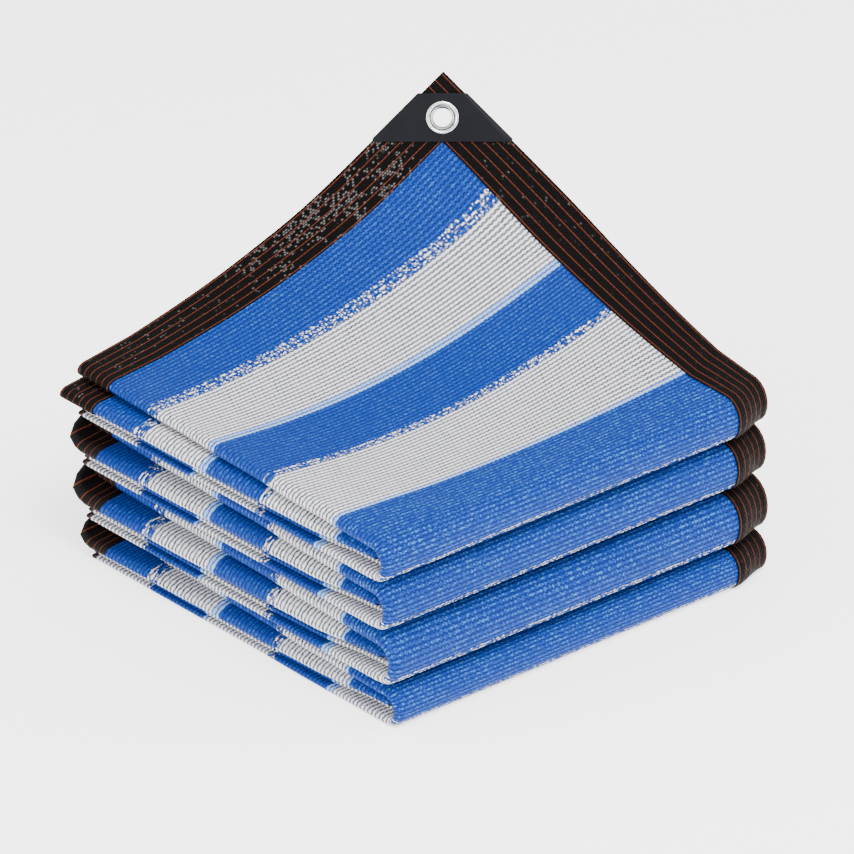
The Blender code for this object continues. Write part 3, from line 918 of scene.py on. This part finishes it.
def net_finish():
    material, tree, shader = new_finish("knitted_net", 0.12)
    across, along = cloth_place(tree)
    stripe = tree.node("Attribute", {"attribute_name": "stripe"}, None, "Fac")
    row = stripe / ROW_PITCH
    line = row.hump().between(0.45, 1.00)
    loop = across / LOOP_PITCH + 0.5 * row.whole()
    hole = (1 - row.hump().between(0.60, 0.95)) * loop.hump().between(0.40, 0.70)
    fleck = chance(tree, (3 * row).whole(), (3 * loop).whole(), 9.0)
    tape = chance(tree, row.whole(), (1.7 * loop).whole(), 2.0)

    place = ((row.whole() + 0.5) * (ROW_PITCH / STRIPE_REPEAT)).part()
    stops = [(edge.start / STRIPE_REPEAT, STRIPE_MASKS[edge.colour]) for edge in STRIPES]
    masks = tree.node("ValToRGB", {"stops": stops}, {"Fac": place}, "Color")
    yarns, brown, laced = (
        tree.node("SeparateColor", None, {"Color": masks}, take) for take in ("Red", "Green", "Blue")
    )
    white = yarns.maths("GREATER_THAN", fleck)

    streak = cloud(tree, across / STREAK_LENGTH, along / STREAK_WIDTH)
    patchy = cloud(tree, across / PATCHY_SIZE, along / PATCHY_SIZE)
    # Painted highlight: light blue sparkles on the blue yarns, stronger in patches and round the front folds
    near_front = 1 - (place * STRIPE_REPEAT - FRONT_STRIPE).size().between(FRONT_BRIGHT, FRONT_DULL)
    painted_sparkle = fleck.between(0.55, 1.0) * (3 * loop).hump() * row.hump()
    blue = blend(tree, line * 0.6 + streak * 0.6 - 0.1, BLUE_DEEP, BLUE)
    blue = blend(tree, painted_sparkle * (0.1 + 0.6 * patchy + 0.5 * near_front), blue, BLUE_PAINTED_SPARKLE)
    # Painted shade in the holes of the blue stripes
    blue = blend(tree, hole * 0.7, blue, BLUE_HOLE_SHADE)
    pale = blend(tree, line * (1 - 0.65 * laced), blend(tree, laced, WHITE_GREY, WHITE_BLUE), WHITE)
    # Painted shade in the holes of the white stripes; in the laced rows the holes are blue, the pattern's own
    # colour
    pale = blend(tree, hole * (0.6 + 0.4 * tape), pale, blend(tree, laced, WHITE_HOLE_SHADE, BLUE_DEEP))
    dark = blend(tree, stitch_lines((stripe / STRIPE_REPEAT).part() * STRIPE_REPEAT), DARK, RUST)
    colour = blend(tree, brown, blend(tree, white, blue, pale), dark)
    tree.feed(shader.inputs["Base Color"], colour)
    tree.feed(shader.inputs["Roughness"], 0.65 - 0.2 * tape * line)
    height = line + 0.3 * fleck - 0.5 * hole
    bump = tree.node("Bump", None, {"Strength": 0.7, "Distance": 0.0005, "Height": height})
    tree.feed(shader.inputs["Normal"], bump)
    return material


def border_finish(name, shine):
    """The border's ribbed tape, painted darker between its ribs and loops as shade. A share of its yarns get
    painted glints, more of them near the raised corner.
    """
    material, tree, shader = new_finish(name, 0.06)
    across, along = cloth_place(tree)
    rib = across / RIB_PITCH
    loop = along / RIB_LOOP + 0.5 * rib.whole()
    yarn = chance(tree, rib.whole(), loop.whole(), 3.0)
    thread = stitch_lines(across)
    weave = rib.hump() * loop.hump()
    # Painted highlight: glints on a share of the yarns, more of them near the raised corner
    near_corner = along.between(SHINE_START, SHINE_FULL) - along.between(SHINE_FADES, SHINE_END)
    patchy = cloud(tree, across / SHINE_SIZE, along / SHINE_SIZE).between(0.35, 0.55)
    lit = shine * patchy * (0.15 + 0.85 * near_corner)
    painted_glint = (yarn + lit).between(0.97, 1.10) * weave
    # Painted shade between the ribs and loops, then the painted glints
    colour = blend(tree, painted_glint, blend(tree, weave, DARK_GAP_SHADE, DARK), PAINTED_GLINT_GREY)
    colour = blend(tree, thread * (0.6 + 0.4 * (along / STITCH_LENGTH).hump()), colour, RUST)
    tree.feed(shader.inputs["Base Color"], colour)
    tree.feed(shader.inputs["Roughness"], 0.75 - 0.3 * yarn * weave)
    height = rib.hump() + weave - thread
    bump = tree.node("Bump", None, {"Strength": 0.6, "Distance": 0.0004, "Height": height})
    tree.feed(shader.inputs["Normal"], bump)
    return material


def thread_finish():
    material, tree, shader = new_finish("stitch_thread", 0.1)
    place = tree.node("TexCoord", None, None, "Object")
    fibre = tree.node("TexNoise", None, {"Vector": place, "Scale": 900.0, "Detail": 2.0}, "Fac")
    tree.feed(shader.inputs["Base Color"], blend(tree, fibre.between(0.3, 0.7), RUST_DEEP, RUST))
    shader.inputs["Roughness"].default_value = 0.6
    return material


def patch_finish():
    material, tree, shader = new_finish("corner_plastic", 0.12)
    place = tree.node("TexCoord", None, None, "Object")
    smudge = tree.node("TexNoise", None, {"Vector": place, "Scale": 60.0, "Detail": 4.0}, "Fac")
    grain = tree.node("TexNoise", None, {"Vector": place, "Scale": 2500.0, "Detail": 2.0}, "Fac")
    tree.feed(shader.inputs["Base Color"], blend(tree, smudge, PATCH_DEEP, PATCH_COLOUR))
    tree.feed(shader.inputs["Roughness"], 0.34 + 0.14 * smudge)
    bump = tree.node("Bump", None, {"Strength": 0.12, "Distance": 0.0001, "Height": grain})
    tree.feed(shader.inputs["Normal"], bump)
    return material


def eyelet_finish():
    material, tree, shader = new_finish("eyelet_metal")
    place = tree.node("TexCoord", None, None, "Object")
    cloudy = tree.node("TexNoise", None, {"Vector": place, "Scale": 260.0, "Detail": 3.0}, "Fac")
    middle = tuple(corner_point(EYELET_DOWN, 0.0, 0.0))
    radius = tree.node("VectorMath", {"operation": "DISTANCE"}, {0: place, 1: middle}, "Value")
    # Painted shade: a dark ring in the groove, and a greyer throat
    groove = 1 - (radius - EYELET_GROOVE).size().between(GROOVE_DARK, GROOVE_CLEAR)
    shaded_steel = blend(tree, radius.between(EYELET_THROAT - GROOVE_CLEAR, EYELET_THROAT), THROAT_PAINTED_SHADE, STEEL)
    tree.feed(shader.inputs["Base Color"], blend(tree, groove, shaded_steel, GROOVE_PAINTED_SHADE))
    tree.feed(shader.inputs["Roughness"], 0.16 + 0.16 * cloudy)
    shader.inputs["Metallic"].default_value = 1.0
    return material


def is_clear_of_eyelet(point):
    """Whether a stitch at this point misses the eyelet's ring."""
    return (point - corner_point(EYELET_DOWN, 0.0, 0.0)).length > STITCH_CLEAR


def thread_rows(lines, line_normals, widths):
    """The centre lines of the rows of stitches on a tape's outer face, as open polylines."""
    rows = []
    for number in range(STITCH_ROWS):
        width = STITCH_FIRST + number * STITCH_SPACING
        inner = next(j for j, limit in enumerate(widths) if limit >= width)
        share = (width - widths[inner - 1]) / (widths[inner] - widths[inner - 1])
        row = []
        for line, outs in zip(lines, line_normals):
            out = outs[inner - 1].lerp(outs[inner], share)
            row.append(line[inner - 1].lerp(line[inner], share) + out * (BAND_OUT + STITCH_LIFT))
        for end, after in ((0, 1), (-1, -2)):
            back = min(0.5, STITCH_LENGTH / (row[end] - row[after]).length)
            row[end] = row[end].lerp(row[after], back)
        rows.append(row)
    return rows


def stitch_tree():
    """Geometry Nodes: a row of overlapping thread links along each polyline."""
    group = bpy.data.node_groups.new("chain_stitch_rows", "GeometryNodeTree")
    sizes = {}
    group.interface.new_socket("Geometry", in_out="INPUT", socket_type="NodeSocketGeometry")
    for name, kind in (("Stitch length", "Float"), ("Thread", "Float"), ("Material", "Material")):
        made = group.interface.new_socket(name, in_out="INPUT", socket_type="NodeSocket" + kind)
        sizes[name] = made.identifier
    group.interface.new_socket("Geometry", in_out="OUTPUT", socket_type="NodeSocketGeometry")
    tree = Tree(group, "GeometryNode")
    entry = group.nodes.new("NodeGroupInput")
    given = {socket.name: Value(tree, socket) for socket in entry.outputs}

    rows = tree.node("MeshToCurve", None, {"Mesh": given["Geometry"]})
    spaced = tree.node("ResampleCurve", {"mode": "LENGTH"}, {"Curve": rows, "Length": given["Stitch length"]})
    link = tree.node("MeshUVSphere", None, {"Segments": 6, "Rings": 4, "Radius": 0.5})
    width = tree.node("ShaderNodeCombineXYZ", None, {
        "X": given["Thread"], "Y": given["Thread"], "Z": LINK_OVERLAP * given["Stitch length"]
    })
    shaped = tree.node("Transform", None, {"Geometry": link, "Scale": width})
    forwards = tree.node("InputTangent")
    turn = tree.node("FunctionNodeAlignRotationToVector", {"axis": "Z"}, {"Vector": forwards})
    placed = tree.node("InstanceOnPoints", None, {"Points": spaced, "Instance": shaped, "Rotation": turn})
    real = tree.node("RealizeInstances", None, {"Geometry": placed})
    smooth_links = tree.node("SetShadeSmooth", None, {"Geometry": real})
    finished = tree.node("SetMaterial", None, {"Geometry": smooth_links, "Material": given["Material"]})
    leave = group.nodes.new("NodeGroupOutput")
    tree.feed(leave.inputs[0], finished)
    return group, sizes


def chain_stitches(name, rows, group, sizes, material):
    """The links of thread along the rows, left out where the eyelet is."""
    points, edges = [], []
    for row in rows:
        start = len(points)
        points += [tuple(point) for point in row]
        for i in range(start, len(points) - 1):
            if is_clear_of_eyelet(row[i - start]) and is_clear_of_eyelet(row[i + 1 - start]):
                edges.append((i, i + 1))
    mesh = bpy.data.meshes.new(name)
    mesh.from_pydata(points, edges, [])
    piece = bpy.data.objects.new(name, mesh)
    bpy.context.collection.objects.link(piece)
    rule = piece.modifiers.new("stitches", "NODES")
    rule.node_group = group
    rule[sizes["Stitch length"]] = STITCH_LENGTH
    rule[sizes["Thread"]] = STITCH_THREAD
    rule[sizes["Material"]] = material
    make_plain(piece)
    return piece


def studio():
    """The floor, the soft lights and the camera."""
    mesh = bpy.data.meshes.new("floor")
    corners = [(x * FLOOR_REACH, y * FLOOR_REACH, 0) for x, y in ((-1, -1), (1, -1), (1, 1), (-1, 1))]
    mesh.from_pydata(corners, [], [(0, 1, 2, 3)])
    floor = bpy.data.objects.new("floor", mesh)
    bpy.context.collection.objects.link(floor)
    material, _, shader = new_finish("floor")
    shader.inputs["Base Color"].default_value = FLOOR_COLOUR + (1.0,)
    shader.inputs["Roughness"].default_value = 0.9
    shader.inputs["Emission Color"].default_value = (1.0, 1.0, 1.0, 1.0)
    shader.inputs["Emission Strength"].default_value = FLOOR_GLOW
    mesh.materials.append(material)
    floor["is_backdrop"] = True

    world = bpy.context.scene.world or bpy.data.worlds.new("studio")
    bpy.context.scene.world = world
    world.use_nodes = True
    backdrop = world.node_tree.nodes["Background"]
    backdrop.inputs["Color"].default_value = (1.0, 1.0, 1.0, 1.0)
    backdrop.inputs["Strength"].default_value = SKY_STRENGTH

    for lamp in LAMPS:
        light = bpy.data.lights.new(lamp.name, "AREA")
        light.shape = "DISK"
        light.size = lamp.size
        light.energy = lamp.watts
        stand = bpy.data.objects.new(lamp.name, light)
        stand.location = lamp.place
        stand.rotation_mode = "QUATERNION"
        stand.rotation_quaternion = (VIEW_TARGET - Vector(lamp.place)).to_track_quat("-Z", "Y")
        bpy.context.collection.objects.link(stand)

    lens = bpy.data.cameras.new("photograph")
    lens.lens = VIEW_LENS
    lens.sensor_width = VIEW_SENSOR
    camera = bpy.data.objects.new("photograph", lens)
    azimuth, elevation = math.radians(VIEW_AZIMUTH), math.radians(VIEW_ELEVATION)
    back = Vector((
        math.sin(azimuth) * math.cos(elevation), -math.cos(azimuth) * math.cos(elevation), math.sin(elevation)
    ))
    camera.location = VIEW_TARGET + back * VIEW_WIDTH * VIEW_LENS / VIEW_SENSOR
    camera.rotation_mode = "QUATERNION"
    camera.rotation_quaternion = (-back).to_track_quat("-Z", "Y")
    bpy.context.collection.objects.link(camera)
    bpy.context.scene.camera = camera


def border_lines(grid, normals, along, across):
    """For each border: its lines inwards from the edge, their normals, widths and places along it."""
    last = BORDER_STEPS
    side = ([row[:last + 1] for row in grid], [row[:last + 1] for row in normals], across[:last + 1], along)
    butt = GAP / (FIRST_X[last] - FIRST_X[last + 1])

    def column(table, j):
        return [table[i][j] for i in range(last + 1)]

    def joint(table):
        return [table[i][last].lerp(table[i][last + 1], butt) for i in range(last + 1)]

    rest = range(last + 1, len(grid[0]))
    beside = [mix(across[last], across[last + 1], butt)] + [across[j] for j in rest]
    lines = [joint(grid)] + [column(grid, j) for j in rest]
    outs = [joint(normals)] + [column(normals, j) for j in rest]
    return side, (lines, outs, along[:last + 1], beside)


def main():
    studio()
    grid = cloth_grid()
    normals = grid_normals(grid)
    along, across = flat_places(grid)
    net = knitted_net(grid, normals, along, across, net_finish())
    punch_hole(net)

    thread_material = thread_finish()
    group, sizes = stitch_tree()
    pieces = []
    for name, node, (lines, outs, widths, lengths) in zip(
        ("side", "back"), ("edge_band_side", "edge_band_back"), border_lines(grid, normals, along, across)
    ):
        finish = border_finish("border_tape_" + name, BORDER_SHINE[name])
        tape = border_tape("border_tape_" + name, lines, outs, widths, lengths, finish)
        stitches = chain_stitches(
            "chain_stitches_" + name, thread_rows(lines, outs, widths), group, sizes, thread_material
        )
        if name == "side":
            punch_hole(tape)
        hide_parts(node)
        pieces += [(tape, "border_tape"), (stitches, "border_tape")]

    patch = corner_patch(patch_finish())
    punch_hole(patch)
    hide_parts("corner_patch")
    ring = pressed_eyelet(eyelet_finish())
    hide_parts("eyelet")
    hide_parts("shade_net")
    pieces += [(net, "knitted_net"), (patch, "corner_plastic"), (ring, "eyelet_metal")]
    for piece, slot in pieces:
        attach(piece, "root")
    carried = [piece for piece, _ in pieces if piece != net]

    boxes = {"cad": cad_box, "visual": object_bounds()}
    sizes_seen = {name: [list(corner) for corner in box] for name, box in boxes.items()}


main()
